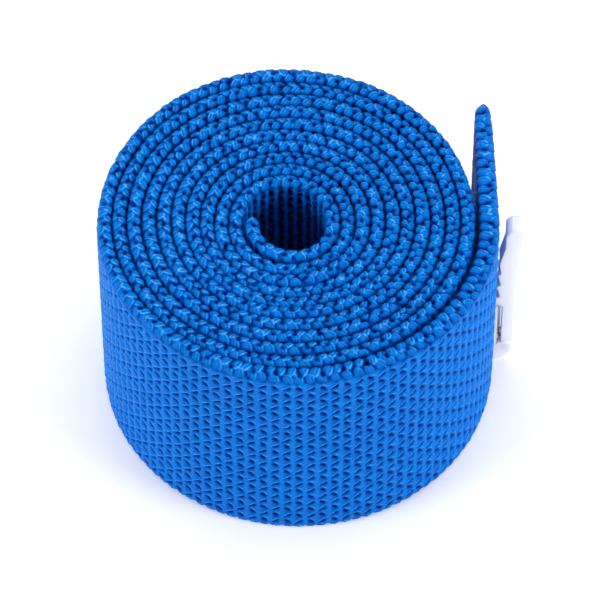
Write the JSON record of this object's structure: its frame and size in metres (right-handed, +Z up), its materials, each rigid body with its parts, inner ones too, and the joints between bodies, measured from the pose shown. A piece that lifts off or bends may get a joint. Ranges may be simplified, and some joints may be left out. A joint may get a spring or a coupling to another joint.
{
  "type": "rolled tie-down strap",
  "caption": "Blue woven tie-down webbing wound into a flat roll standing on its edge, with a free end and a small white spring clip on the outer turn.",
  "frame": {"origin": "middle of the object's footprint, on the plane it stands on", "axes": "+Z up along the roll's winding axis and across the webbing; +X towards the clip; the free end runs towards +Y"},
  "size_m": [0.0414, 0.0372, 0.025],
  "materials": {
    "webbing": "woven polypropylene webbing",
    "moulded_clip": "moulded, satin gloss",
    "pin_steel": "ground steel",
    "spring_steel": "drawn wire"
  },
  "bodies": {
    "roll": {"strap_roll": "webbing", "strap_lead": "webbing", "clip_body": "moulded_clip", "clip_pin": "pin_steel", "clip_spring": "spring_steel"},
    "tail": {"strap_tail": "webbing"},
    "jaw": {"clip_jaw": "moulded_clip"}
  },
  "joints": [
    {"name": "tail_bend", "type": "hinge", "parent": "roll", "child": "tail", "pos_m": [0.01681, 0.00686, 0.0125], "axis": [0, 0, 1], "range_deg": [-75, 30], "stiffness_Nm_per_rad": 0.0002},
    {"name": "jaw_pivot", "type": "hinge", "parent": "roll", "child": "jaw", "pos_m": [0.01888, 0.00257, 0.00205], "axis": [0, 1, 0], "range_deg": [0, 25], "stiffness_Nm_per_rad": 0.0015, "springref_deg": -20.05, "deforming": ["clip_spring"]}
  ]
}
